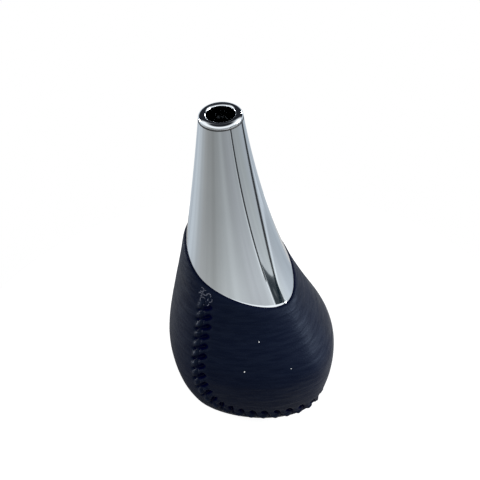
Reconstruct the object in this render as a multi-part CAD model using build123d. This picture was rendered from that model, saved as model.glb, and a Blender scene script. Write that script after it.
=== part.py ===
from build123d import *
import os
from math import cos, pi, radians, sin, sqrt, tan

# Gear shift knob, standing on the end of its head with the lever's bore upwards.
# Millimetres. Z is the axis of the bore, the front of the knob faces -Y, and X = 0 is its mirror plane.

# Outer form: sizes of the whole knob
total_height = 102.2
mouth_radius = 6.3
head_half_width = 25.2
head_front_reach = 34.1
head_back_reach = 22.4
widest_level = 22.9

# Outer form: how its curves run from the widest level up to the mouth
shoulder_rise = 10.0
neck_run = 59.5
neck_flare_side = 8.3
neck_flare_front = 8.1
neck_flare_back = 10.6

# Outer form: how its curves run from the widest level down to the flat end
end_corner_drop = 11.3
end_corner_fullness = 0.61
end_flat_half_width = 7.7
end_flat_front_reach = 17.0
end_flat_back_reach = 10.7

# Outer form: fullness of its sections between front, sides and back, where a round section has sqrt(0.5)
round_fullness = sqrt(0.5)
head_fullness = 0.463
neck_fullness = 0.606

# Leather
leather_thickness = 1.5
leather_step = 1.2
glue_film = 0.1

# Edge of the leather: a slanted plane, lowest at the front
split_axis_level = 53.9
split_tilt = 22.5

# Seam between the leather panels: a curve in the side view, given by places along Y and levels
seam_start_place = -5.4
seam_start_level = 50.0
seam_side_place = -9.2
seam_side_level = 12.7
seam_corner_place = -8.2
seam_corner_level = 9.5
seam_front_level = 10.5
seam_gap = 0.3

# Stitches
stitch_pitch = 4.2
stitch_half_span = 1.9
stitch_slant = 0.9
thread_radius = 0.42
thread_lift = 0.25
thread_dip = 0.15
pucker_radius = 1.0
pucker_depth = 0.75

# Plated skirt
bore_radius = 4.1
bore_length = 12.0
rim_bead = 0.12
rim_bead_depth = 1.4
tongue_wall = 1.7
mouth_wall = 2.0
tuck_depth = 5.0
seat_gap = 0.15
lug_width = 6.0
lug_height = 2.0
lug_reach = 1.1
lug_lift = 2.6

# Core
spigot_clearance = 0.2
spigot_rise = 3.0
core_wall = 2.6
pocket_floor = 12.0
stem_radius = 7.2
rib_thickness = 2.0
rib_top = 40.0
lug_clearance = 0.15

# Threaded insert for an M8 lever: the bore is the thread's minor diameter
insert_radius = 5.0
insert_length = 19.0
insert_drop = 24.2
flange_radius = 6.0
flange_thickness = 1.6
groove_depth = 0.5
groove_width = 2.0
groove_count = 2
thread_minor_radius = 3.32
thread_chamfer = 0.7
tip_clearance_radius = 4.3
tip_clearance_depth = 5.0

# Values that follow from those above
far = 2 * total_height
rim_rounding = (mouth_radius + rim_bead - bore_radius) / 2
mouth_level = total_height - rim_rounding
insert_top_level = total_height - insert_drop
core_inset = leather_thickness + glue_film
hollow_inset = core_inset + tongue_wall
spigot_inset = hollow_inset + spigot_clearance
pocket_inset = spigot_inset + core_wall
upright = (Align.CENTER, Align.CENTER, Align.MIN)
hanging = (Align.CENTER, Align.CENTER, Align.MAX)


def upper_rows(inset, mouth):
    """Level, half width, front reach, back reach and fullness of the ovals that steer the form upwards."""
    wide = [reach - inset for reach in (head_half_width, head_front_reach, head_back_reach)]
    neck = [mouth_radius + flare - inset for flare in (neck_flare_side, neck_flare_front, neck_flare_back)]
    return [
        (widest_level, *wide, head_fullness),
        (widest_level + shoulder_rise, *wide, head_fullness),
        (mouth_level - neck_run, *neck, neck_fullness),
        (mouth_level, mouth, mouth, mouth, round_fullness),
    ]


def lower_rows(inset):
    """Level, half width, front reach, back reach and fullness of the ovals that steer the form downwards."""
    wide = [reach - inset for reach in (head_half_width, head_front_reach, head_back_reach)]
    flat = [end_flat_half_width, end_flat_front_reach, end_flat_back_reach]
    full = [low + end_corner_fullness * (high - low) for low, high in zip(flat, wide)]
    return [
        (widest_level, *wide, head_fullness),
        (widest_level - end_corner_drop, *wide, head_fullness),
        (inset, *full, head_fullness),
        (inset, *flat, round_fullness),
    ]


def quarter(rows, turn):
    """A quarter of the surface that four ovals steer, from one of their main axes to the next."""
    first = (sin(turn), cos(turn))
    last = (sin(turn + pi / 2), cos(turn + pi / 2))
    corner = (first[0] + last[0], first[1] + last[1])
    points = []
    weights = []
    for level, half_width, front, back, fullness in rows:
        middle = (back - front) / 2
        depth = (back + front) / 2
        points.append([(half_width * s, middle - depth * c, level) for s, c in (first, corner, last)])
        weights.append([1, fullness, 1])
    return Face.make_bezier_surface(points, weights)


def ring(rows):
    """The four quarters of one surface."""
    return [quarter(rows, i * pi / 2) for i in range(4)]


def cap(faces, place):
    """Flat face across the lowest (place 0) or highest (place -1) end of a ring of quarters."""
    return Face(Wire([face.edges().sort_by(Axis.Z)[place] for face in faces]))


def whole_form(inset):
    """Body inside the outer form, from the flat end to the mouth."""
    high = ring(upper_rows(inset, mouth_radius - inset))
    low = ring(lower_rows(inset))
    return Solid(Shell([*high, *low, cap(high, -1), cap(low, 0)]))


def neck_form(inset, mouth):
    """Body inside the outer form, from the widest level to the mouth."""
    high = ring(upper_rows(inset, mouth))
    return Solid(Shell([*high, cap(high, -1), cap(high, 0)]))


def surface_point(form, place, level, direction):
    """Farthest point and outward direction where a line from X = 0 leaves the form."""
    hits = form.find_intersection_points(Axis((0, place, level), direction))
    return max(hits, key=lambda hit: hit[0].dot(Vector(*direction)))


def below_split(rise):
    """Everything under the slanted edge of the leather, with that edge lifted by rise."""
    level = split_axis_level + rise
    fall = far * tan(radians(split_tilt))
    side_view = Plane.YZ * Polygon((-far, level - fall), (far, level + fall), (far, -far), (-far, -far), align=None)
    return extrude(side_view, far, both=True)


def seam_side_curve(form):
    """The seam in the side view, from the edge of the leather to the front of the head."""
    front = surface_point(form, 0, seam_front_level, (0, -1, 0))[0]
    return Bezier(
        (seam_start_place, seam_start_level),
        (seam_side_place, seam_side_level),
        (seam_corner_place, seam_corner_level),
        (front.Y, front.Z),
    )


def seam_slit(curve):
    """The gap along the seam, right through the head, run on past both ends of the seam."""
    start = curve @ 0
    end = curve @ 1
    above = start - (curve % 0) * total_height
    ahead = end + (curve % 1) * head_front_reach
    return extrude(Plane.YZ * trace(Line(above, start) + curve + Line(end, ahead), seam_gap), far, both=True)


def seam_path(form, curve):
    """The seam on the outer form: down one side, across the front and up the other side."""
    count = 24
    side = []
    for i in range(count):
        place = curve @ (1 - (1 - i / count) ** 2)
        side.append(surface_point(form, place.X, place.Y, (1, 0, 0))[0])
    front = (0, (curve @ 1).X, (curve @ 1).Y)
    left = [(-point.X, point.Y, point.Z) for point in side]
    return Spline(*left, front, *reversed(side))


def stitch_frames(form, path):
    """Point, direction along the seam, direction across it and outward direction of each stitch."""
    count = int(path.length / stitch_pitch - 0.5)
    first = (path.length - (count - 1) * stitch_pitch) / 2
    frames = []
    for i in range(count):
        share = (first + i * stitch_pitch) / path.length
        point = path @ share
        along = path % share
        face = min(form.faces(), key=lambda face: face.distance_to(point))
        out = face.normal_at(point)
        frames.append((point, along, along.cross(out).normalized(), out))
    return frames


def stitch(frame):
    """One stitch: a short arch of thread that crosses the seam at a slant."""
    point, along, across, out = frame
    reach = across * stitch_half_span + along * stitch_slant
    dip = out * thread_dip
    top = point + out * (thread_radius + thread_lift)
    path = ThreePointArc(point - reach - dip, top, point + reach - dip)
    start = Plane(origin=path @ 0, z_dir=path % 0)
    return sweep(start * Circle(thread_radius), path=path)


def puckers(frame):
    """Hollows in the leather at both ends of a stitch, cut by balls whose poles stay clear of the leather."""
    point, along, across, out = frame
    reach = across * stitch_half_span + along * stitch_slant
    lift = out * (pucker_radius - pucker_depth)
    places = [point + lift + reach * side for side in (-1, 1)]
    return [Plane(origin=place, x_dir=out, z_dir=along) * Sphere(pucker_radius) for place in places]


def leather_panels(form, curve, frames):
    """Front and rear panel: the wrapped shell, cut along the seam and puckered at each stitch."""
    shell = (form & below_split(0)) - whole_form(leather_thickness) - seam_slit(curve)
    shell -= [hollow for frame in frames for hollow in puckers(frame)]
    front, rear = sorted(shell.solids(), key=lambda solid: solid.center().Y)
    return front, rear


def lugs(clearance):
    """Two snap lugs on the inside of the skirt, one at each side."""
    level = split_axis_level - tuck_depth + lug_lift
    wall = surface_point(neck_form(hollow_inset, mouth_radius - mouth_wall), 0, level, (1, 0, 0))[0].X
    depth = lug_reach + clearance
    block = Box(2 * depth, lug_width + 2 * clearance, lug_height + 2 * clearance)
    return [Pos(side * wall, 0, level) * block for side in (-1, 1)]


def rim():
    """Rounded bead round the mouth."""
    outer = mouth_radius + rim_bead
    foot = mouth_level - rim_bead_depth
    crown = ThreePointArc((outer, mouth_level), (outer - rim_rounding, total_height), (bore_radius, mouth_level))
    outline = [
        Line((bore_radius, foot), (outer, foot)),
        Line((outer, foot), (outer, mouth_level)),
        crown,
        Line((bore_radius, mouth_level), (bore_radius, foot)),
    ]
    return revolve(Plane.XZ * make_face(outline), Axis.Z)


def chrome_skirt():
    """Plated skirt: visible cone, tongue under the leather, hollow, mouth bore and snap lugs."""
    cone = neck_form(leather_step, mouth_radius) - below_split(seat_gap)
    tongue = whole_form(core_inset) & (below_split(seat_gap) - below_split(-tuck_depth))
    hollow = neck_form(hollow_inset, mouth_radius - mouth_wall)
    hollow -= Pos(0, 0, total_height - bore_length) * Cylinder(far, far, align=upright)
    inner_lugs = [block & whole_form(core_inset) for block in lugs(0)]
    skirt = cone + tongue - hollow + rim() + inner_lugs
    return skirt - Pos(0, 0, total_height) * Cylinder(bore_radius, 3 * bore_length)


def thread_insert():
    """Steel insert with a flange, holding grooves and the lever's thread."""
    body = Cylinder(insert_radius, insert_length, align=hanging)
    body += Cylinder(flange_radius, flange_thickness, align=hanging)
    spacing = (insert_length - flange_thickness) / (groove_count + 1)
    groove = Cylinder(flange_radius, groove_width) - Cylinder(insert_radius - groove_depth, groove_width)
    for i in range(groove_count):
        body -= Pos(0, 0, -insert_length + (i + 1) * spacing) * groove
    body -= Cylinder(thread_minor_radius, 3 * insert_length)
    mouth = thread_minor_radius + thread_chamfer
    body -= Cone(thread_minor_radius, mouth, thread_chamfer, align=hanging)
    return Pos(0, 0, insert_top_level) * body


def pocket():
    """Moulded recess in the core, open towards the skirt, as wide as the neck of the core lets it be."""
    neck = neck_form(pocket_inset, mouth_radius - mouth_wall)
    half_width = surface_point(neck, 0, rib_top, (1, 0, 0))[0].X
    front = -surface_point(neck, 0, rib_top, (0, -1, 0))[0].Y
    back = surface_point(neck, 0, rib_top, (0, 1, 0))[0].Y
    opening = Pos(0, (back - front) / 2, pocket_floor) * Ellipse(half_width, (back + front) / 2)
    return extrude(opening, total_height, dir=(0, 0, 1)) & whole_form(pocket_inset)


def core():
    """Moulded core: head, spigot in the skirt, ribbed pocket and stem round the insert."""
    body = whole_form(core_inset) & below_split(-tuck_depth - seat_gap)
    body += whole_form(spigot_inset) & below_split(spigot_rise)
    stem = Pos(0, 0, pocket_floor) * Cylinder(stem_radius, insert_top_level - pocket_floor, align=upright)
    rib_height = rib_top - pocket_floor
    ribs = Box(far, rib_thickness, rib_height, align=upright) + Box(rib_thickness, far, rib_height, align=upright)
    body = body - (pocket() - Pos(0, 0, pocket_floor) * ribs) + stem
    body -= lugs(lug_clearance)
    foot = insert_top_level - insert_length
    body -= thread_insert()
    body -= Pos(0, 0, foot) * Cylinder(thread_minor_radius + thread_chamfer, far, align=upright)
    return body - Pos(0, 0, foot) * Cylinder(tip_clearance_radius, tip_clearance_depth, align=hanging)


def main():
    os.makedirs("parts", exist_ok=True)
    form = whole_form(0)
    curve = seam_side_curve(form)
    frames = stitch_frames(form, seam_path(form, curve))
    front, rear = leather_panels(form, curve, frames)
    nodes = {
        "chrome_skirt": chrome_skirt(),
        "core": core(),
        "thread_insert": thread_insert(),
        "front_panel": front,
        "rear_panel": rear,
        "seam_thread": Compound(children=[stitch(frame) for frame in frames]),
    }
    for name, shape in nodes.items():
        export_step(shape, f"parts/{name}.step")


main()
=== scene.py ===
import bmesh
import bpy
import math
from mathutils import Matrix, Vector, noise
from mathutils.bvhtree import BVHTree
from mathutils.kdtree import KDTree


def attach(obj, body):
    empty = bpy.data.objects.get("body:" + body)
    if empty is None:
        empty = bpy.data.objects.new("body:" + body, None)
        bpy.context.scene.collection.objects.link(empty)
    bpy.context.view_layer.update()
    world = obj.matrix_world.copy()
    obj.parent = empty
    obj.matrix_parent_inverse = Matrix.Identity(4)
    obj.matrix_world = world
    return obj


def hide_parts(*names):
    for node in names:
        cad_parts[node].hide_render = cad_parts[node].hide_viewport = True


# Looks of a gear shift knob that stands on the end of its head, bore upwards.
# Lengths are in millimetres and become metres when a mesh is finished.
# Z is the axis of the bore, the front of the knob faces -Y, and X = 0 is its mirror plane.
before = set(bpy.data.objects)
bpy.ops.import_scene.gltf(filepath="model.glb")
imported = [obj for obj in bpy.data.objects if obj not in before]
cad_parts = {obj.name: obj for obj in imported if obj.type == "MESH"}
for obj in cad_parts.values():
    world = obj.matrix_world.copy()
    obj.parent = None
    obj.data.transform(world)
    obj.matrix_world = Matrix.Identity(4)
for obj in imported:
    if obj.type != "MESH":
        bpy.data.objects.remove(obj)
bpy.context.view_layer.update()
metre = 0.001

# Outer form of the knob; a reach or flare is given for the sides, the front and the back
total_height = 102.2
mouth_radius = 6.3
mouth_level = 101.04
head_reach = (25.2, 34.1, 22.4)
widest_level = 22.9
shoulder_rise = 10.0
neck_run = 59.5
neck_flare = (8.3, 8.1, 10.6)
end_corner_drop = 11.3
end_corner_fullness = 0.61
end_flat_reach = (7.7, 17.0, 10.7)
round_fullness = math.sqrt(0.5)
head_fullness = 0.463
neck_fullness = 0.606

# Flat patterns: columns and rows, the rises they reach, and how close vertices are welded
head_grid = (200, 120)
leather_grid = (190, 104)
skirt_grid = (220, 150)
end_middle_rise = -1
leather_top_rise = 1.75
skirt_foot_rise = 1.2
mouth_rise = 2
weld_distance = 0.0005
head_weld_distance = 0.001
lip_weld_distance = 0.0001

# Leather and its upper edge, which is rolled in
leather_step = 1.2
leather_thickness = 1.1
edge_level = 53.9
edge_cover = 0.4
edge_slope = math.tan(math.radians(22.5))
edge_roll = 1.9
edge_roll_depth = 1.0
edge_hair = 0.06
edge_cuts = (0.12, 0.45, 1.0, edge_roll)

# Seam: a curve in the side view, given by places along Y and levels, further back at the right
seam_side_view = ((-5.0, 53.0), (-9.2, 12.7), (-8.2, 8.6), (-32.5, 9.5))
seam_right_drift = 3.0
drift_start_level = 12.0
drift_rise = 30.0
seam_samples = 320
direction_samples = 3
ray_start = 100.0

# Stitches: the shape is given by shares of the half span and by lifts
stitch_pitch = 3.83
stitch_tightening = 0.022
stitch_start = 6.5
stitch_half_span = 1.8
stitch_slant = 0.9
stitch_shape = (
    (1.0, -1.6), (1.0, -0.9), (0.75, -0.5), (0.0, -0.42), (-0.75, -0.5), (-1.0, -0.9), (-1.0, -1.6),
)
thread_radius = 0.18

# Bar tacks: each loop has a run, a place aside, a size and a starting angle
tack_run = 4.4
tack_thread_radius = 0.15
tack_steps = 9
tack_turn = 38
tack_lift = 0.06
tack_end_depth = 0.9
tack_loops = (
    (-1.9, 1.2, 0.7, 0.3), (-1.2, 0.1, 0.8, 4.0), (-0.6, -1.2, 0.7, 2.0), (-0.3, 1.6, 0.6, 1.2),
    (0.6, -1.7, 0.7, 5.2), (1.2, 0.6, 0.9, 3.1), (1.9, -0.8, 0.7, 0.9), (2.8, 0.8, 0.7, 2.4),
)

# Puckers beside the seam; pairs are for the front panel and the rear panel
pucker_reach = 5.0
pucker_fade = 7.0
crease_depth = 0.15
crease_half_width = 0.4
groove_depth = 0.4
groove_half_width = 0.5
groove_reach = 1.5
groove_softness = 0.2
dent_depth = (0.95, 0.65)
dent_length = (1.15, 0.55)
front_dent_half_width = 1.6
front_dent_least = 0.35
front_dent_narrowing = 0.35
rear_dent_half_width = 0.5
puff_height = 0.6
puff_rear_gain = 0.14
puff_place = 1.0
puff_spread = 0.95
puff_gap = 1.0
puff_half_length = 1.8

# Unevenness from stitch to stitch: its size, and the rate of its wave along the seam
dent_depth_change = (0.2, 2.7)
dent_place_change = (0.2, 4.1)
puff_height_change = (0.25, 5.3)

# Flatter puckers at the right, and more so higher up
flatter_side = 14.0
flatter_level = 12.0
flatter_rise = 12.0
flatter_share = 0.58
flatter_high_share = 0.18

# Leather tighter below its edge at the right, fuller at the right of the head, and uneven all over
tight_depth = 0.85
tight_side = 20.0
tight_drop = 12.0
fuller_depth = 0.5
fuller_side = 25.0
fuller_level = 23.0
fuller_spread = 8.0
broad_slack = 0.10
broad_slack_rate = 0.09
fine_slack = 0.035
fine_slack_rate = 0.33
fine_slack_shift = Vector((7, 3, 1))
slack_rise = 0.25
slack_drop = 4.0

# Folds pulled by a bar tack: each has a starting run, a slope and a height
pulled_lines = ((8.6, 0.51, 0.30), (7.1, 0.55, 0.20), (5.8, 0.58, 0.28))
fold_range = (0.5, 14.0)
fold_middle = 5.5
fold_half_length = 4.0
fold_half_width = 0.5

# How deep the leather may sink: less near its edge, where the plating is under it
edge_sink_limit = 0.85
sink_limit_run = 10.0
least_sink_limit = 1.0
greatest_sink_limit = 1.35

# Shares of the painted shade and sheen, which darken and dull the leather or make it shinier: its rolled
# edge, its folds and a strip in front of the seam
roll_shade_share = 0.5
fold_sheen_share = 2
strip_shade_share = 0.3
strip_place = 0.9
strip_half_width = 1.1
strip_drop = 3.0

# Where the leather's mesh is finer
fine_seam_reach = 4.0
fine_fold_reach = 13.0
fine_fold_run = 11.0
fine_cuts = 3

# Specks of lint: turn, rise and size of each
lint_specks = ((-0.416, 1.378, 0.17), (-0.553, 1.191, 0.2), (-0.256, 1.186, 0.13))
lint_lift = 0.05

# Rim and bore of the skirt, and a dark ring under the rim as painted shade in the gap there
lip_height = 1.1
lip_reach = 1.5
lip_inner_height = 0.6
lip_foot_angle = -25
lip_outer_steps = 20
lip_inner_steps = 10
lip_gap_shade = 0.7
shade_ring_radius = 6.2
shade_ring_tuck = 0.5
shade_ring_rise = 0.32
shade_ring_turn_in = 0.3
shade_ring_top = 0.4
bore_radius = 4.1
bore_length = 12.0
bore_chamfer = 0.3
bore_ledge = 1.6
lip_lathe_steps = 128

# Foot of the skirt, under the leather's edge
skirt_tuck = 4.0
flare_depth = 0.055
flare_top = 0.03
flare_run = 0.33
flare_side = 1.0
flare_fade = 3.0
flare_cuts = (-0.3, -0.15, 0.05)

# Threaded insert; the thread's section is given by radii and levels over one pitch
insert_top = 78.0
insert_length = 19.0
insert_radius = 5.0
insert_lathe_steps = 96
flange_radius = 6.0
flange_thickness = 1.6
flange_chamfer = 0.2
thread_pitch = 1.25
thread_crest = 3.32
thread_root = 4.0
thread_play = 0.15
thread_start = 0.6
thread_steps = 40
thread_section = ((thread_root, 0), (thread_crest, 0.5), (thread_crest, 0.75), (thread_root, thread_pitch))

# Range that most of a noise texture covers
noise_range = (0.3, 0.7)

# Camera, found from the outline of the knob in the photograph
view_target = Vector((0, 0, 50))
view_distance = 470.0
view_azimuth = math.radians(-42.2)
view_elevation = math.radians(40.15)
view_roll = math.radians(4.55)
view_focal_pixels = 1586.0
view_offset = (8.1, 17.4)
image_pixels = 480

# Round stand under the knob
stand_radius = 95.0
stand_shade = 0.3
stand_glow_for_camera = 0.86

# Room that the plating mirrors; its places and ranges are parts of a direction
white_wall = (1.15, 1.18, 1.2)
dark_wall = (0.02, 0.022, 0.028)
ceiling_range = (0.75, 0.9)
back_range = (-0.6, -0.35)
wall_foot_range = (0.11, 0.2)
back_wall_drop = 0.15
doorway_shade = (0.003, 0.013, 0.022)
doorway_middle = 0.285
doorway_half_width = 0.245
doorway_rounding = 0.045
gleam_place = (0.2, 0.045)
gleam_half_size = (0.06, 0.03)

# Lamps: name, azimuth, elevation, distance and size in metres, power, and whether mirrors show it
lamps = (
    ("key", 46, 18, 1.2, 0.6, 17, True),
    ("right_rim", 104, 14, 1.2, 0.15, 3, True),
    ("left_rim", -165, 4, 1.2, 0.3, 5, True),
    ("fill", -110, 35, 1.3, 0.9, 5, False),
)


# Numbers and directions

def clamp(value, low=0, high=1):
    """Value, kept between low and high."""
    return max(low, min(high, value))


def bell(value):
    """1 at zero, fading to 0 on both sides."""
    return math.exp(-value ** 2)


def uneven(change, stitch):
    """Small change from stitch to stitch."""
    size, rate = change
    return size * math.sin(rate * stitch)


def direction_of(azimuth, elevation):
    """Direction away from the knob, at an azimuth from its front and an elevation."""
    flat = math.cos(elevation)
    return Vector((math.sin(azimuth) * flat, -math.cos(azimuth) * flat, math.sin(elevation)))


# Outer form: a surface steered by ovals

def upper_rows(inset):
    """Ovals that steer the form from its widest level to the mouth."""
    wide = [reach - inset for reach in head_reach]
    neck = [mouth_radius + flare - inset for flare in neck_flare]
    mouth = [mouth_radius] * 3
    return (
        (widest_level, *wide, head_fullness),
        (widest_level + shoulder_rise, *wide, head_fullness),
        (mouth_level - neck_run, *neck, neck_fullness),
        (mouth_level, *mouth, round_fullness),
    )


def lower_rows(inset):
    """Ovals that steer the form from its flat end to its widest level."""
    wide = [reach - inset for reach in head_reach]
    full = [flat + end_corner_fullness * (reach - flat) for flat, reach in zip(end_flat_reach, wide)]
    return (
        (inset, *end_flat_reach, round_fullness),
        (inset, *full, head_fullness),
        (widest_level - end_corner_drop, *wide, head_fullness),
        (widest_level, *wide, head_fullness),
    )


def oval_point(rows, turn, share):
    """Point at a turn, in quarters from the front, and a share of the way up a form steered by ovals."""
    quarter = math.floor(turn)
    part = turn - quarter
    first = (math.sin(quarter * math.pi / 2), math.cos(quarter * math.pi / 2))
    last = (math.sin((quarter + 1) * math.pi / 2), math.cos((quarter + 1) * math.pi / 2))
    corner = (first[0] + last[0], first[1] + last[1])
    across = ((1 - part) ** 2, 2 * part * (1 - part), part ** 2)
    rest = 1 - share
    upward = (rest ** 3, 3 * share * rest ** 2, 3 * share ** 2 * rest, share ** 3)
    point = Vector((0, 0, 0))
    weight = 0
    for (level, half_width, front, back, fullness), row_share in zip(rows, upward):
        for (side, ahead), column_share, fill in zip((first, corner, last), across, (1, fullness, 1)):
            part_weight = row_share * column_share * fill
            place = (half_width * side, (back - front) / 2 - (back + front) / 2 * ahead, level)
            point += part_weight * Vector(place)
            weight += part_weight
    return point / weight


def form_point(inset, turn, rise):
    """Point of the form: rise -1 to 0 is the flat end, 0 to 1 the lower head and 1 to 2 the rest."""
    if rise > 1:
        return oval_point(upper_rows(inset), turn, rise - 1)
    if rise >= 0:
        return oval_point(lower_rows(inset), turn, rise)
    middle = Vector((0, (end_flat_reach[2] - end_flat_reach[1]) / 2, inset))
    return middle.lerp(oval_point(lower_rows(inset), turn, 0), 1 + rise)


def form_normal(inset, turn, rise):
    """Outward direction of the form."""
    if rise < 0:
        return Vector((0, 0, -1))
    step = 0.002
    low = max(rise - step, 0)
    round_it = form_point(inset, turn + step, rise) - form_point(inset, turn - step, rise)
    up_it = form_point(inset, turn, low + 2 * step) - form_point(inset, turn, low)
    return round_it.cross(up_it).normalized()


# Mesh helpers

def finished(name, bm, material, smooth=True):
    """Object from a mesh in millimetres, riding on the knob."""
    bmesh.ops.scale(bm, vec=(metre, metre, metre), verts=bm.verts)
    mesh = bpy.data.meshes.new(name)
    bm.to_mesh(mesh)
    bm.free()
    mesh.materials.append(material)
    for face in mesh.polygons:
        face.use_smooth = smooth
    piece = bpy.data.objects.new(name, mesh)
    bpy.context.scene.collection.objects.link(piece)
    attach(piece, "root")
    return piece


def flat_pattern(grid, lowest, highest):
    """Flat sheet whose x is the turn, with its ends at the back, and whose y is the rise."""
    bm = bmesh.new()
    columns, rows = grid
    bmesh.ops.create_grid(bm, x_segments=columns, y_segments=rows, size=1)
    middle = (lowest + highest) / 2
    bmesh.ops.scale(bm, vec=(2, (highest - lowest) / 2, 1), verts=bm.verts)
    bmesh.ops.translate(bm, vec=(0, middle, 0), verts=bm.verts)
    return bm


def middle_of(face):
    """Turn and rise in the middle of a face of a flat pattern."""
    return face.calc_center_median().xy


def cut_where(bm, height):
    """Cuts a flat pattern along the line where a height, given for each vertex, is zero."""
    heights = {vert: height(vert.co.x, vert.co.y) for vert in bm.verts}
    cuts = []
    for edge in list(bm.edges):
        first, last = edge.verts
        if heights[first] * heights[last] < 0:
            share = heights[first] / (heights[first] - heights[last])
            _, vert = bmesh.utils.edge_split(edge, first, share)
            cuts.append(vert)
    bmesh.ops.connect_verts(bm, verts=cuts)


def edge_height(inset):
    """Function that gives how far a point of a flat pattern is above the leather's edge."""
    def height(turn, rise):
        point = form_point(inset, turn, rise)
        return point.z - edge_level - edge_slope * point.y
    return height


def below_edge(point):
    """How far a point is below the top of the leather, which covers the foot of the plating."""
    return edge_level + edge_cover + edge_slope * point.y - point.z


# Seam: a line laid on the form, and where a point is beside it

def bezier(points, share):
    """Point at a share of the way along a curve with four steering points."""
    rest = 1 - share
    weights = (rest ** 3, 3 * share * rest ** 2, 3 * share ** 2 * rest, share ** 3)
    return sum((weight * Vector(point) for weight, point in zip(weights, points)), Vector((0, 0)))


def head_tree():
    """The plain form of the head, to lay the seam on."""
    bm = flat_pattern(head_grid, end_middle_rise, leather_top_rise)
    for vert in bm.verts:
        vert.co = form_point(0, vert.co.x, vert.co.y)
    bmesh.ops.remove_doubles(bm, verts=bm.verts, dist=head_weld_distance)
    bmesh.ops.recalc_face_normals(bm, faces=bm.faces)
    tree = BVHTree.FromBMesh(bm)
    bm.free()
    return tree


def lay_seam(tree):
    """Points, directions and running length along the seam, from its left end to its right end."""
    sides = {-1: [], 1: []}
    for i in range(seam_samples):
        place, level = bezier(seam_side_view, 1 - (1 - i / seam_samples) ** 2)
        drift = seam_right_drift * clamp((level - drift_start_level) / drift_rise)
        for side, hits in sides.items():
            hit = tree.ray_cast((ray_start * side, place + max(0, side) * drift, level), (-side, 0, 0))
            if hit[0]:
                hits.append((hit[0], hit[1]))
    front = tree.ray_cast((0, -ray_start, seam_side_view[3][1]), (0, 1, 0))
    laid = sides[-1] + [(front[0], front[1])] + sides[1][::-1]
    points = [point for point, out in laid]
    seam = []
    run = 0
    for i, (point, out) in enumerate(laid):
        run += (point - points[i - 1]).length if i else 0
        along = points[min(i + direction_samples, len(points) - 1)] - points[max(i - direction_samples, 0)]
        along = (along - along.dot(out) * out).normalized()
        seam.append((point, along, along.cross(out).normalized(), out, run))
    return seam


def seam_length(seam):
    """Running length at the right end of the seam."""
    return seam[-1][4]


def seam_finder(seam):
    """Function that gives a point's distance from the seam, towards the rear, and its run along it."""
    places = KDTree(len(seam))
    for i, (point, along, across, out, run) in enumerate(seam):
        places.insert(point, i)
    places.balance()

    def beside(point):
        near, index, distance = places.find(point)
        at, along, across, out, run = seam[index]
        away = point - at
        sign = 1 if away.dot(across) > 0 else -1
        distance = sign * math.sqrt(max(away.length_squared - away.dot(along) ** 2, 0))
        return distance, run + away.dot(along)
    return beside


def stitch_reach(step):
    """Run from the middle of the seam to a stitch: wide steps at the front, and closer ones further on."""
    return stitch_pitch * step - stitch_tightening * step ** 2


def stitch_runs(seam):
    """Where along the seam the stitches are."""
    middle = seam_length(seam) / 2
    runs = [middle]
    step = 1
    while stitch_reach(step) < middle - stitch_start:
        runs += [middle - stitch_reach(step), middle + stitch_reach(step)]
        step += 1
    return runs


def seam_at(seam, run):
    """Point and directions at a run along the seam."""
    nearest = min(seam, key=lambda sample: abs(sample[4] - run))
    point, along, across, out, sample_run = nearest
    return point + along * (run - sample_run), along, across, out


# Leather panels

def seam_sink(distance, run, runs):
    """How far the leather is pulled in beside the seam.

    There is a crease along it, a groove under each stitch, a dent at each stitch's end, and puffs between.
    """
    away = abs(distance)
    if away > pucker_reach:
        return 0
    slant = stitch_slant * clamp(distance / stitch_half_span, -1, 1)
    stitch = min(runs, key=lambda place: abs(run - slant - place))
    near = abs(run - slant - stitch)
    crease = crease_depth * bell(away / crease_half_width)
    groove = groove_depth * bell(near / groove_half_width)
    groove /= 1 + math.exp((away - groove_reach) / groove_softness)
    panel = 1
    width = rear_dent_half_width
    if distance < 0:
        panel = 0
        width = max(front_dent_least, front_dent_half_width - front_dent_narrowing * away)
    depth = dent_depth[panel] * (1 + uneven(dent_depth_change, stitch))
    reach = stitch_half_span + uneven(dent_place_change, stitch)
    dent = depth * math.exp(-(near / width) ** 2 - ((away - reach) / dent_length[panel]) ** 2)
    height = puff_height + puff_rear_gain * clamp(distance, -1, 1)
    height *= 1 + uneven(puff_height_change, stitch)
    puff = height * (1 - bell(near / puff_gap)) * bell((away - puff_place) / puff_spread)
    puff *= bell(max(0, near - puff_half_length))
    return crease + groove + dent - puff


def seam_strength(point):
    """Share of the puckering: less at the right, where the leather lies flatter."""
    right = clamp(point.x / flatter_side)
    high = clamp((point.z - flatter_level) / flatter_rise)
    return 1 - right * (flatter_share + flatter_high_share * high)


def edge_sink(below):
    """How far the leather rolls in at its folded edge, and no less within a hair of it."""
    share = clamp(1 - (below - edge_hair) / edge_roll)
    return edge_roll_depth * (1 - math.sqrt(1 - share ** 2))


def tightness(below, side):
    """How far the leather lies closer to the plating below its edge at the right."""
    return tight_depth * max(0, side / tight_side) * bell(below / tight_drop)


def pulled_folds(distance, run):
    """Height of the folds that a bar tack pulls into the rear panel, by the run from its end."""
    nearest, farthest = fold_range
    if not nearest < distance < farthest:
        return 0
    height = 0
    middle = (distance - fold_middle) / fold_half_length
    for start, slope, fold in pulled_lines:
        line = (run - start + slope * distance) / fold_half_width
        height += fold * math.exp(-middle ** 2 - line ** 2)
    return height


def slack(point):
    """Small unevenness of leather pulled over the core by hand: fuller at the right of the head."""
    full = fuller_depth * max(0, point.x / fuller_side) ** 2
    full *= bell((point.z - fuller_level) / fuller_spread)
    broad = broad_slack * noise.noise(point * broad_slack_rate)
    fine = fine_slack * noise.noise(point * fine_slack_rate + fine_slack_shift)
    return broad + fine - full


def sink_limit(below):
    """How far the leather may sink."""
    return clamp(edge_sink_limit + below / sink_limit_run, least_sink_limit, greatest_sink_limit)


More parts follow.
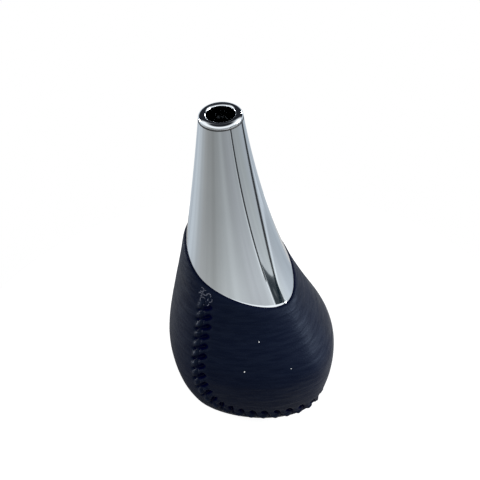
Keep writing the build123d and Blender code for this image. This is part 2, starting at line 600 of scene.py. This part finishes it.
def leather_pattern(beside, length):
    """The cover as a flat pattern, cut at its edge and along the seam, and finer there and at the folds."""
    bm = flat_pattern(leather_grid, end_middle_rise, leather_top_rise)
    over = edge_height(0)
    cut_where(bm, lambda turn, rise: over(turn, rise) - edge_cover)
    waste = [face for face in bm.faces if over(*middle_of(face)) > edge_cover]
    bmesh.ops.delete(bm, geom=waste, context="FACES")
    for below in edge_cuts:
        cut_where(bm, lambda turn, rise: over(turn, rise) - edge_cover + below)

    def worked(face):
        distance, run = beside(form_point(0, *middle_of(face)))
        folded = 0 < distance < fine_fold_reach and min(run, length - run) < fine_fold_run
        return folded or abs(distance) < fine_seam_reach
    edges = {edge for face in bm.faces if worked(face) for edge in face.edges}
    bmesh.ops.subdivide_edges(bm, edges=list(edges), cuts=fine_cuts, use_grid_fill=True)
    cut_where(bm, lambda turn, rise: beside(form_point(0, turn, rise))[0])
    return bm


def wrap(bm, seam, beside, runs):
    """Lays a flat pattern round the head, with its seam, edge, folds and slack.

    Each vertex keeps how far it is pulled in, more at the rolled edge and in a strip in front of the seam
    and less on the folds, for the painted shade and sheen in the leather's colour and shine.
    """
    length = seam_length(seam)
    shade_and_sheen = bm.verts.layers.float.new("shade_and_sheen")
    for vert in bm.verts:
        turn, rise = vert.co.x, vert.co.y
        point = form_point(0, turn, rise)
        below = below_edge(point)
        distance, run = beside(point)
        pucker = seam_sink(distance, run, runs) * seam_strength(point) * clamp(below / pucker_fade)
        roll = edge_sink(below)
        sink = pucker + max(roll, tightness(below, point.x))
        # Painted shade: a darker, duller strip in front of the seam
        strip = strip_shade_share * bell((distance + strip_place) / strip_half_width) if below > strip_drop else 0
        vert[shade_and_sheen] = pucker + roll_shade_share * roll + strip
        if rise > 0:
            folds = pulled_folds(distance, min(run, length - run))
            sink += slack(point) * min(1, rise / slack_rise, below / slack_drop) - folds
            # Painted sheen: the folds are made shinier
            vert[shade_and_sheen] -= fold_sheen_share * folds
        vert.co = point - min(sink, sink_limit(below)) * form_normal(0, turn, rise)
    bmesh.ops.remove_doubles(bm, verts=bm.verts, dist=weld_distance)
    bmesh.ops.recalc_face_normals(bm, faces=bm.faces)


def leather_panels(seam, material):
    """Front and rear panel, each with its own half of the pattern and the thickness of the leather."""
    beside = seam_finder(seam)
    runs = stitch_runs(seam)
    pattern = leather_pattern(beside, seam_length(seam))
    for name, side in (("front_panel", -1), ("rear_panel", 1)):
        bm = pattern.copy()
        other = [face for face in bm.faces if beside(form_point(0, *middle_of(face)))[0] * side < 0]
        bmesh.ops.delete(bm, geom=other, context="FACES")
        wrap(bm, seam, beside, runs)
        panel = finished(name + "_leather", bm, material)
        thickness = panel.modifiers.new("thickness", "SOLIDIFY")
        thickness.thickness = leather_thickness * metre
        thickness.offset = -1
        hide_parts(name)
    pattern.free()


# Stitches

def strand(points, radius):
    """Mesh tube of thread along a smooth line through a few points."""
    curve = bpy.data.curves.new("strand", "CURVE")
    curve.dimensions = "3D"
    curve.bevel_depth = radius
    curve.bevel_resolution = 3
    curve.resolution_u = 4
    curve.use_fill_caps = True
    spline = curve.splines.new("NURBS")
    spline.points.add(len(points) - 1)
    for place, point in zip(spline.points, points):
        place.co = (*point, 1)
    spline.order_u = 3
    spline.use_endpoint_u = True
    holder = bpy.data.objects.new("strand", curve)
    bpy.context.scene.collection.objects.link(holder)
    bpy.context.view_layer.update()
    mesh = bpy.data.meshes.new_from_object(holder.evaluated_get(bpy.context.evaluated_depsgraph_get()))
    bpy.data.objects.remove(holder)
    return mesh


def stitch_points(seam, run):
    """Line of one stitch: out of its hole in the rear panel, over the seam and into the front panel."""
    point, along, across, out = seam_at(seam, run)
    return [
        point + across * stitch_half_span * share + along * stitch_slant * share + out * lift
        for share, lift in stitch_shape
    ]


def tack_points(seam, run, aside, size, start):
    """Line of one small loop of the bar tack that locks the thread at an end of the seam."""
    point, along, across, out = seam_at(seam, run)
    below = below_edge(point)
    sunk = max(edge_sink(below), tightness(below, point.x))
    line = []
    for i in range(tack_steps):
        angle = start + math.radians(tack_turn * i)
        lift = -tack_end_depth if i in (0, tack_steps - 1) else tack_lift - sunk
        sideways = across * (aside + size * math.cos(angle))
        line.append(point + sideways + along * size * math.sin(angle) + out * lift)
    return line


def sewn(name, lines, radius, material):
    """Piece of thread along many lines."""
    bm = bmesh.new()
    for line in lines:
        mesh = strand(line, radius)
        bm.from_mesh(mesh)
        bpy.data.meshes.remove(mesh)
    return finished(name, bm, material)


def seam_thread(seam, material, frayed):
    """All stitches, and the frayed bar tacks at both ends of the seam."""
    crossings = [stitch_points(seam, run) for run in stitch_runs(seam)]
    stitches = sewn("seam_stitches", crossings, thread_radius, material)
    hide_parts("seam_thread")
    length = seam_length(seam)
    lines = []
    for down, aside, size, start in tack_loops:
        lines.append(tack_points(seam, tack_run + down, aside, size, start))
        lines.append(tack_points(seam, length - tack_run - down, aside, size, -start))
    sewn("bar_tacks", lines, tack_thread_radius, frayed)


def dust(material):
    """Specks of lint on the front panel."""
    bm = bmesh.new()
    for turn, rise, size in lint_specks:
        place = form_point(0, turn, rise) + lint_lift * form_normal(0, turn, rise)
        bmesh.ops.create_icosphere(bm, subdivisions=2, radius=size, matrix=Matrix.Translation(place))
    finished("lint_specks", bm, material)


# Plated skirt

def wire(bm, outline):
    """Vertices and edges of an outline of (radius, level) points."""
    verts = [bm.verts.new((radius, 0, level)) for radius, level in outline]
    return verts + [bm.edges.new(pair) for pair in zip(verts, verts[1:])]


def lathe(bm, outline, steps):
    """Turns an outline round the axis of the bore."""
    bmesh.ops.spin(bm, geom=wire(bm, outline), cent=(0, 0, 0), axis=(0, 0, 1), angle=2 * math.pi,
                   steps=steps, use_merge=True)


def lip_outline():
    """Rolled lip of the mouth, the bore's wall and the ledge under it."""
    ring = mouth_radius - lip_reach
    outline = []
    for i in range(lip_outer_steps + 1):
        angle = math.radians(lip_foot_angle + (90 - lip_foot_angle) * i / lip_outer_steps)
        level = total_height - lip_height + lip_height * math.sin(angle)
        outline.append((ring + lip_reach * math.cos(angle), level))
    for i in range(1, lip_inner_steps + 1):
        angle = math.radians(90 + 90 * i / lip_inner_steps)
        level = total_height - lip_inner_height + lip_inner_height * math.sin(angle)
        outline.append((ring + (ring - bore_radius) * math.cos(angle), level))
    foot = total_height - bore_length
    outline.append((bore_radius, foot + bore_chamfer))
    outline.append((bore_radius + bore_chamfer, foot))
    outline.append((bore_radius + bore_ledge, foot))
    return outline


def painted_lip_shade_ring(material):
    """Dark ring in the gap between the skirt and its lip, as painted shade in that groove."""
    bm = bmesh.new()
    foot = total_height - lip_height - lip_gap_shade
    outline = (
        (shade_ring_radius, foot - shade_ring_tuck),
        (shade_ring_radius, foot + shade_ring_rise),
        (shade_ring_radius - shade_ring_turn_in, foot + shade_ring_top),
    )
    lathe(bm, outline, lip_lathe_steps)
    bmesh.ops.recalc_face_normals(bm, faces=bm.faces)
    finished("lip_gap_shade", bm, material)


def chrome_skirt(material):
    """Plated cone, flared a little under the leather's edge, up to the gap with the dark ring of painted
    shade; then the lip and the bore.
    """
    bm = flat_pattern(skirt_grid, skirt_foot_rise, mouth_rise)
    over = edge_height(leather_step)
    cut_where(bm, lambda turn, rise: over(turn, rise) + skirt_tuck)
    waste = [face for face in bm.faces if over(*middle_of(face)) < -skirt_tuck]
    bmesh.ops.delete(bm, geom=waste, context="FACES")
    for above in flare_cuts:
        cut_where(bm, lambda turn, rise: over(turn, rise) - above)
    for vert in bm.verts:
        turn, rise = vert.co.x, vert.co.y
        point = form_point(leather_step, turn, rise)
        flare = flare_depth * clamp((flare_top - over(turn, rise)) / flare_run) ** 2
        flare *= clamp((flare_side - point.x) / flare_fade)
        vert.co = point + flare * form_normal(leather_step, turn, rise)
    bmesh.ops.remove_doubles(bm, verts=bm.verts, dist=weld_distance)
    shade_gap_foot = total_height - lip_height - lip_gap_shade
    bmesh.ops.bisect_plane(bm, geom=[*bm.verts, *bm.edges, *bm.faces], plane_no=(0, 0, 1),
                           plane_co=(0, 0, shade_gap_foot), clear_outer=True)
    lathe(bm, lip_outline(), lip_lathe_steps)
    bmesh.ops.remove_doubles(bm, verts=bm.verts, dist=lip_weld_distance)
    bmesh.ops.recalc_face_normals(bm, faces=bm.faces)
    skirt = finished("plated_skirt", bm, material)
    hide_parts("chrome_skirt")


# Threaded insert

def lever_insert(material):
    """Steel insert: turned body with its flange, and the thread cut in its bore."""
    bm = bmesh.new()
    foot = insert_top - insert_length
    under_flange = insert_top - flange_thickness
    mouth = thread_root + thread_play
    body = (
        (mouth, insert_top),
        (flange_radius - flange_chamfer, insert_top),
        (flange_radius, insert_top - flange_chamfer),
        (flange_radius, under_flange),
        (insert_radius, under_flange),
        (insert_radius, foot),
        (mouth, foot),
        (mouth, insert_top),
    )
    lathe(bm, body, insert_lathe_steps)
    turns = int(insert_length / thread_pitch) - 1
    start = foot + thread_start
    section = wire(bm, [(radius, start + level) for radius, level in thread_section])
    bmesh.ops.spin(bm, geom=section, cent=(0, 0, 0), axis=(0, 0, 1), angle=2 * math.pi * turns,
                   dvec=(0, 0, thread_pitch / thread_steps), steps=turns * thread_steps)
    bmesh.ops.remove_doubles(bm, verts=bm.verts, dist=weld_distance)
    bmesh.ops.recalc_face_normals(bm, faces=bm.faces)
    insert = finished("lever_insert", bm, material, smooth=False)
    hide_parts("thread_insert")


# Shader helpers, which add nodes to a tree

def new_material(name):
    """Material, its node tree and its shader."""
    material = bpy.data.materials.new(name)
    material.use_nodes = True
    tree = material.node_tree
    return material, tree, tree.nodes["Principled BSDF"]


def object_noise(tree, scale, detail, stretch=(1, 1, 1), space="Object"):
    """Noise on the object's own coordinates, or on the direction for the room."""
    coordinates = tree.nodes.new("ShaderNodeTexCoord")
    mapping = tree.nodes.new("ShaderNodeMapping")
    mapping.inputs["Scale"].default_value = stretch
    texture = tree.nodes.new("ShaderNodeTexNoise")
    texture.inputs["Scale"].default_value = scale
    texture.inputs["Detail"].default_value = detail
    tree.links.new(coordinates.outputs[space], mapping.inputs["Vector"])
    tree.links.new(mapping.outputs["Vector"], texture.inputs["Vector"])
    return texture.outputs["Fac"]


def ramp(tree, source, low, high, first, last):
    """Colour that goes from first to last as a source goes from low to high."""
    node = tree.nodes.new("ShaderNodeValToRGB")
    node.color_ramp.elements[0].position = low
    node.color_ramp.elements[1].position = high
    node.color_ramp.elements[0].color = (*first, 1)
    node.color_ramp.elements[1].color = (*last, 1)
    tree.links.new(source, node.inputs["Fac"])
    return node.outputs["Color"]


def map_range(tree, value, start, end, first, last):
    """Node that takes a value from start to end to a number from first to last."""
    node = tree.nodes.new("ShaderNodeMapRange")
    for name, number in (("From Min", start), ("From Max", end), ("To Min", first), ("To Max", last)):
        node.inputs[name].default_value = number
    tree.links.new(value, node.inputs["Value"])
    return node


def spread(tree, texture, low, high):
    """Number between low and high, from a noise texture."""
    return map_range(tree, texture, *noise_range, low, high).outputs["Result"]


def fade(tree, value, start, end, first, last):
    """Number that goes smoothly from first to last as a value goes from start to end."""
    node = map_range(tree, value, start, end, first, last)
    node.interpolation_type = "SMOOTHSTEP"
    return node.outputs["Result"]


def bump(tree, height, strength, depth, under=None):
    """Surface direction with a height on it, and another bump under that."""
    node = tree.nodes.new("ShaderNodeBump")
    node.inputs["Strength"].default_value = strength
    node.inputs["Distance"].default_value = depth
    tree.links.new(height, node.inputs["Height"])
    if under is not None:
        tree.links.new(under, node.inputs["Normal"])
    return node.outputs["Normal"]


def calculate(tree, operation, first, second=0.0):
    """Result of an operation on two values, each a number or another node's output."""
    node = tree.nodes.new("ShaderNodeMath")
    node.operation = operation
    for socket, value in zip(node.inputs, (first, second)):
        if isinstance(value, (int, float)):
            socket.default_value = value
        else:
            tree.links.new(value, socket)
    return node.outputs["Value"]


def product(tree, first, *others):
    """Product of values, each a number or another node's output."""
    for other in others:
        first = calculate(tree, "MULTIPLY", first, other)
    return first


def share_of(tree, value, middle, half_width):
    """How far a value is from a middle, as a share of a half width."""
    return calculate(tree, "DIVIDE", calculate(tree, "SUBTRACT", value, middle), half_width)


def reach_along(tree, place, direction):
    """How far a place or direction goes along another direction."""
    node = tree.nodes.new("ShaderNodeVectorMath")
    node.operation = "DOT_PRODUCT"
    node.inputs[1].default_value = direction
    tree.links.new(place, node.inputs[0])
    return node.outputs["Value"]


def mix_of(tree, share, first, second):
    """Colour between two others, each a colour or another node's output."""
    node = tree.nodes.new("ShaderNodeMix")
    node.data_type = "RGBA"
    tree.links.new(share, node.inputs["Factor"])
    for name, colour in (("A", first), ("B", second)):
        if isinstance(colour, tuple):
            node.inputs[name].default_value = (*colour, 1)
        else:
            tree.links.new(colour, node.inputs[name])
    return node.outputs["Result"]


# Materials

def chrome_material():
    """Polished plating with a faint haze from handling."""
    material, tree, shader = new_material("polished_chrome")
    haze = object_noise(tree, 70, 4)
    tint = ramp(tree, haze, *noise_range, (0.72, 0.75, 0.78), (0.76, 0.79, 0.82))
    tree.links.new(tint, shader.inputs["Base Color"])
    streaks = object_noise(tree, 160, 3, (1, 1, 0.08))
    tree.links.new(spread(tree, streaks, 0.035, 0.075), shader.inputs["Roughness"])
    shader.inputs["Metallic"].default_value = 1
    return material


def leather_material():
    """Black leather with a navy cast: fine grain, pores, wrinkles and soft creases.

    It is painted darker and duller where it is pulled in, as painted shade in its dents, creases, rolled
    edge and the strip in front of the seam, and shinier on the puffs and folds, where that share is
    negative, as painted sheen.
    """
    material, tree, shader = new_material("navy_black_leather")
    painted_dent_shade = (0.0004, 0.001, 0.016)
    puff_shine = 0.3
    plain_shine = 0.14
    patches = object_noise(tree, 55, 5)
    tint = ramp(tree, patches, *noise_range, (0.0007, 0.0017, 0.0085), (0.0015, 0.0031, 0.0122))
    attribute = tree.nodes.new("ShaderNodeAttribute")
    attribute.attribute_name = "shade_and_sheen"
    shade_and_sheen = attribute.outputs["Fac"]
    # Painted shade: darker navy where the leather is pulled in
    colour = mix_of(tree, fade(tree, shade_and_sheen, 0.1, 0.7, 0, 1), tint, painted_dent_shade)
    tree.links.new(colour, shader.inputs["Base Color"])
    # Painted sheen on the puffs and folds, and duller leather as painted shade where it is pulled in
    shine = fade(tree, shade_and_sheen, -0.7, -0.3, puff_shine, plain_shine)
    dull = fade(tree, shade_and_sheen, 0, 0.6, 1, 0)
    wrinkles = object_noise(tree, 650, 2, (0.3, 0.3, 2.0))
    worn = fade(tree, wrinkles, 0.32, 0.68, 0.78, 1.24)
    tree.links.new(product(tree, shine, dull, worn), shader.inputs["Specular IOR Level"])
    cells = tree.nodes.new("ShaderNodeTexVoronoi")
    cells.feature = "DISTANCE_TO_EDGE"
    cells.inputs["Scale"].default_value = 1150
    tree.links.new(tree.nodes.new("ShaderNodeTexCoord").outputs["Object"], cells.inputs["Vector"])
    pores = object_noise(tree, 2600, 2)
    creases = object_noise(tree, 260, 3, (0.3, 0.3, 2.2))
    soft = bump(tree, creases, 0.5, 0.0006)
    lined = bump(tree, wrinkles, 0.3, 0.0002, soft)
    grain = bump(tree, cells.outputs["Distance"], 0.35, 0.00012, lined)
    tree.links.new(bump(tree, pores, 0.15, 0.00006, grain), shader.inputs["Normal"])
    tree.links.new(spread(tree, patches, 0.46, 0.58), shader.inputs["Roughness"])
    # Painted bluish light: the leather's shine is tinted blue
    shader.inputs["Specular Tint"].default_value = (0.5, 0.68, 1.0, 1)
    return material


def thread_material(name, dark, light):
    """Polyester thread, lighter where its fibres catch the light."""
    material, tree, shader = new_material(name)
    fibres = object_noise(tree, 2200, 2)
    tree.links.new(ramp(tree, fibres, 0.35, 0.7, dark, light), shader.inputs["Base Color"])
    tree.links.new(bump(tree, fibres, 0.6, 0.0002), shader.inputs["Normal"])
    tree.links.new(spread(tree, fibres, 0.6, 0.8), shader.inputs["Roughness"])
    shader.inputs["Specular IOR Level"].default_value = 0.04
    return material


def lint_material():
    """Pale lint."""
    material, tree, shader = new_material("pale_lint")
    fuzz = object_noise(tree, 6000, 2)
    tint = ramp(tree, fuzz, *noise_range, (0.62, 0.63, 0.62), (0.85, 0.85, 0.84))
    tree.links.new(tint, shader.inputs["Base Color"])
    shader.inputs["Roughness"].default_value = 0.9
    return material


def plastic_material():
    """Moulded black plastic of the core."""
    material, tree, shader = new_material("moulded_black_plastic")
    flow = object_noise(tree, 220, 3)
    tint = ramp(tree, flow, *noise_range, (0.016, 0.016, 0.017), (0.026, 0.026, 0.027))
    tree.links.new(tint, shader.inputs["Base Color"])
    grit = object_noise(tree, 2400, 2)
    tree.links.new(bump(tree, grit, 0.3, 0.0001), shader.inputs["Normal"])
    tree.links.new(spread(tree, flow, 0.5, 0.65), shader.inputs["Roughness"])
    return material


def steel_material():
    """Turned steel of the insert, darker than bare steel as painted shade deep in the bore, with fine rings
    from the tool.
    """
    material, tree, shader = new_material("turned_steel")
    rings = object_noise(tree, 900, 2, (0.1, 0.1, 4))
    # Painted shade: the steel is made darker for the shade deep in the bore
    tint = ramp(tree, rings, *noise_range, (0.14, 0.14, 0.14), (0.22, 0.22, 0.21))
    tree.links.new(tint, shader.inputs["Base Color"])
    tree.links.new(spread(tree, rings, 0.25, 0.42), shader.inputs["Roughness"])
    shader.inputs["Metallic"].default_value = 1
    return material


# Stage, light and camera

def stand_glow(tree):
    """Glow of the stand: even for the camera, and in mirrors a painted light that is stronger towards the
    key light, with a painted shadow under the knob and less glow far out.
    """
    lit_direction = (0.7, -0.7, 0)
    path = tree.nodes.new("ShaderNodeLightPath").outputs
    seen = calculate(tree, "MAXIMUM", path["Is Camera Ray"], path["Is Glossy Ray"])
    seen = calculate(tree, "MAXIMUM", seen, path["Is Transmission Ray"])
    place = tree.nodes.new("ShaderNodeTexCoord").outputs["Object"]
    length = tree.nodes.new("ShaderNodeVectorMath")
    length.operation = "LENGTH"
    tree.links.new(place, length.inputs[0])
    radius = length.outputs["Value"]
    # Painted shadow in mirrors under the knob, and painted light towards the key light
    outside = fade(tree, radius, 0.022, 0.06, 0.08, 0.7)
    lit = fade(tree, reach_along(tree, place, lit_direction), 0, 0.045, 0.33, 1.4)
    near = fade(tree, radius, 0.055, 0.075, 1, 0.3)
    mirrored = product(tree, seen, outside, lit, near)
    shown = product(tree, path["Is Camera Ray"], stand_glow_for_camera)
    return calculate(tree, "MAXIMUM", mirrored, shown)


def floor():
    """White round stand that keeps a soft shadow of the knob."""
    material = bpy.data.materials.new("white_floor")
    material.use_nodes = True
    tree = material.node_tree
    tree.nodes.clear()
    matt = tree.nodes.new("ShaderNodeBsdfDiffuse")
    matt.inputs["Color"].default_value = (stand_shade, stand_shade, stand_shade, 1)
    glow = tree.nodes.new("ShaderNodeEmission")
    tree.links.new(stand_glow(tree), glow.inputs["Strength"])
    both = tree.nodes.new("ShaderNodeAddShader")
    tree.links.new(matt.outputs["BSDF"], both.inputs[0])
    tree.links.new(glow.outputs["Emission"], both.inputs[1])
    output = tree.nodes.new("ShaderNodeOutputMaterial")
    tree.links.new(both.outputs["Shader"], output.inputs["Surface"])
    bm = bmesh.new()
    bmesh.ops.create_circle(bm, cap_ends=True, radius=stand_radius * metre, segments=128)
    mesh = bpy.data.meshes.new("floor")
    bm.to_mesh(mesh)
    bm.free()
    mesh.materials.append(material)
    piece = bpy.data.objects.new("floor", mesh)
    bpy.context.scene.collection.objects.link(piece)


def room_shades(tree, x, ahead):
    """Shade of the room below the horizon, by the direction round the knob from the back over the left."""
    turn = calculate(tree, "ARCTAN2", x, ahead)
    share = calculate(tree, "ADD", calculate(tree, "DIVIDE", turn, 2 * math.pi), 0.5)
    shades = tree.nodes.new("ShaderNodeValToRGB")
    stops = (
        (-180, (0.74, 0.81, 0.87)),
        (-155, (0.69, 0.74, 0.78)),
        (-120, (0.43, 0.44, 0.44)),
        (-87, (0.33, 0.34, 0.335)),
        (-55, (0.43, 0.45, 0.455)),
        (-25, (0.38, 0.395, 0.41)),
        (-3, (0.45, 0.475, 0.49)),
        (30, (0.44, 0.47, 0.475)),
        (60, (0.51, 0.55, 0.59)),
        (95, (0.56, 0.62, 0.68)),
        (180, (0.62, 0.68, 0.74)),
    )
    for angle, shade in stops[1:-1]:
        shades.color_ramp.elements.new(0.5 + angle / 360)
    for element, (angle, shade) in zip(shades.color_ramp.elements, stops):
        element.position = 0.5 + angle / 360
        element.color = (*shade, 1)
    tree.links.new(share, shades.inputs["Fac"])
    return shades.outputs["Color"]


def floor_line(tree, direction, ahead, z, across, offset, half_width, widening, shade, end):
    """A shade along a straight line on the room's floor at the front, up to its end, and 1 beside it."""
    softness = 0.008
    end_softness = 0.02
    beyond = 0.1
    side = reach_along(tree, direction, Vector(across).normalized())
    away = calculate(tree, "ABSOLUTE", calculate(tree, "SUBTRACT", side, offset))
    away = calculate(tree, "ADD", away, product(tree, z, widening))
    away = calculate(tree, "MAXIMUM", away, product(tree, ahead, -1))
    past_end = fade(tree, z, end - end_softness, end + end_softness, 0, beyond)
    away = calculate(tree, "MAXIMUM", away, past_end)
    return fade(tree, away, half_width - softness, half_width + softness, shade, 1)


def dark_doorway(tree, x, ahead, z):
    """Darkness of the doorway at the front, where both dark lines end: a rounded threshold, and a gleam."""
    aside = share_of(tree, x, doorway_middle, doorway_half_width)
    squared = product(tree, aside, aside)
    rise = calculate(tree, "ADD", z, product(tree, squared, doorway_rounding))
    threshold = fade(tree, rise, -0.048, -0.040, 0, 1)
    jambs = fade(tree, squared, 0.9, 1.08, 1, 0)
    top = fade(tree, z, 0.12, 0.16, 1, 0)
    front = fade(tree, ahead, 0, 0.1, 0, 1)
    inside = product(tree, threshold, jambs, top, front)
    depth = fade(tree, z, -0.05, 0.0, 0.86, 0.94)
    wide = share_of(tree, x, gleam_place[0], gleam_half_size[0])
    high = share_of(tree, z, gleam_place[1], gleam_half_size[1])
    away = calculate(tree, "ADD", product(tree, high, high), product(tree, wide, wide))
    depth = calculate(tree, "SUBTRACT", depth, fade(tree, away, 0, 1, 0.12, 0))
    return product(tree, inside, depth)


def room_floor(tree, direction, x, ahead, z):
    """Colour of the room's floor, with its lines and some streaks."""
    straight = (1, 0, 0)
    slanted = (1, 0.46, 1.6)
    lines = (
        (straight, 0, 0.028, 0.06, 0.08, 0.0),
        (straight, -0.056, 0.016, 0.04, 1.4, -0.02),
        (straight, 0.0, 0.014, 0, 1.5, 0.2),
        (slanted, 0, 0.03, -0.012, 0.08, 0.2),
        (slanted, 0.052, 0.016, 0, 1.45, 0.2),
    )
    level = fade(tree, z, -0.45, 0.02, 0.85, 1.45)
    for line in lines:
        level = product(tree, level, floor_line(tree, direction, ahead, z, *line))
    streaks = object_noise(tree, 3.2, 3, (1, 1, 0.3), "Generated")
    level = product(tree, level, fade(tree, streaks, *noise_range, 0.93, 1.07))
    shaded = tree.nodes.new("ShaderNodeVectorMath")
    shaded.operation = "SCALE"
    tree.links.new(room_shades(tree, x, ahead), shaded.inputs[0])
    tree.links.new(level, shaded.inputs["Scale"])
    return shaded.outputs["Vector"]


def world_light():
    """Room that the plating mirrors: a pale floor, white walls, dark ones at the back and a dark ceiling.

    The camera sees plain white.
    """
    world = bpy.data.worlds.new("studio")
    bpy.context.scene.world = world
    world.use_nodes = True
    tree = world.node_tree
    direction = tree.nodes.new("ShaderNodeTexCoord").outputs["Generated"]
    split = tree.nodes.new("ShaderNodeSeparateXYZ")
    tree.links.new(direction, split.inputs["Vector"])
    x, z = split.outputs["X"], split.outputs["Z"]
    ahead = product(tree, split.outputs["Y"], -1)
    low_side = room_floor(tree, direction, x, ahead, z)
    toward = calculate(tree, "ADD", product(tree, x, math.sin(view_azimuth)),
                       product(tree, ahead, math.cos(view_azimuth)))
    ceiling = ramp(tree, z, *ceiling_range, white_wall, dark_wall)
    walls = mix_of(tree, fade(tree, toward, *back_range, 0, 1), dark_wall, ceiling)
    rise = calculate(tree, "ADD", z, fade(tree, toward, *back_range, back_wall_drop, 0))
    room = mix_of(tree, fade(tree, rise, *wall_foot_range, 0, 1), low_side, walls)
    room = mix_of(tree, dark_doorway(tree, x, ahead, z), room, doorway_shade)
    camera_rays = tree.nodes.new("ShaderNodeLightPath").outputs["Is Camera Ray"]
    background = tree.nodes["Background"]
    tree.links.new(mix_of(tree, camera_rays, room, (1, 1, 1)), background.inputs["Color"])
    background.inputs["Strength"].default_value = 1


def softbox(name, azimuth, elevation, distance, size, power, seen):
    """Square soft light aimed at the knob."""
    light = bpy.data.lights.new(name, "AREA")
    light.size = size
    light.energy = power
    lamp = bpy.data.objects.new(name, light)
    bpy.context.scene.collection.objects.link(lamp)
    away = direction_of(math.radians(azimuth), math.radians(elevation))
    lamp.location = view_target * metre + away * distance
    lamp.rotation_euler = away.to_track_quat("Z", "Y").to_euler()
    lamp.visible_glossy = seen
    lamp.visible_camera = False


def camera():
    """Camera at the photograph's view, aimed so that it needs no shift."""
    back = direction_of(view_azimuth, view_elevation)
    level = Vector((math.cos(view_azimuth), math.sin(view_azimuth), 0))
    upright = back.cross(level)
    side = level * math.cos(view_roll) - upright * math.sin(view_roll)
    top = upright * math.cos(view_roll) + level * math.sin(view_roll)
    aim = (view_focal_pixels * back - view_offset[0] * side - view_offset[1] * top).normalized()
    top = (top - top.dot(aim) * aim).normalized()
    side = top.cross(aim)
    data = bpy.data.cameras.new("camera")
    data.sensor_width = 36
    data.lens = view_focal_pixels / image_pixels * data.sensor_width
    data.clip_start = 0.01
    eye = bpy.data.objects.new("camera", data)
    bpy.context.scene.collection.objects.link(eye)
    place = Matrix((side, top, aim)).transposed().to_4x4()
    place.translation = (view_target + back * view_distance) * metre
    eye.matrix_world = place
    bpy.context.scene.camera = eye


def dress():
    """All pieces of the knob."""
    leather = leather_material()
    black = thread_material("black_thread", (0.0007, 0.0012, 0.009), (0.002, 0.003, 0.013))
    frayed = thread_material("frayed_thread", (0.045, 0.05, 0.07), (0.13, 0.14, 0.18))
    seam = lay_seam(head_tree())
    leather_panels(seam, leather)
    seam_thread(seam, black, frayed)
    dust(lint_material())
    chrome_skirt(chrome_material())
    plastic = plastic_material()
    # Dark ring of painted shade in the gap under the lip, in the core's plastic
    painted_lip_shade_ring(plastic)
    lever_insert(steel_material())
    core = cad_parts["core"]
    core.data.materials.clear()
    core.data.materials.append(plastic)


dress()
floor()
world_light()
for lamp in lamps:
    softbox(*lamp)
camera()
bpy.context.scene.view_settings.view_transform = "Standard"
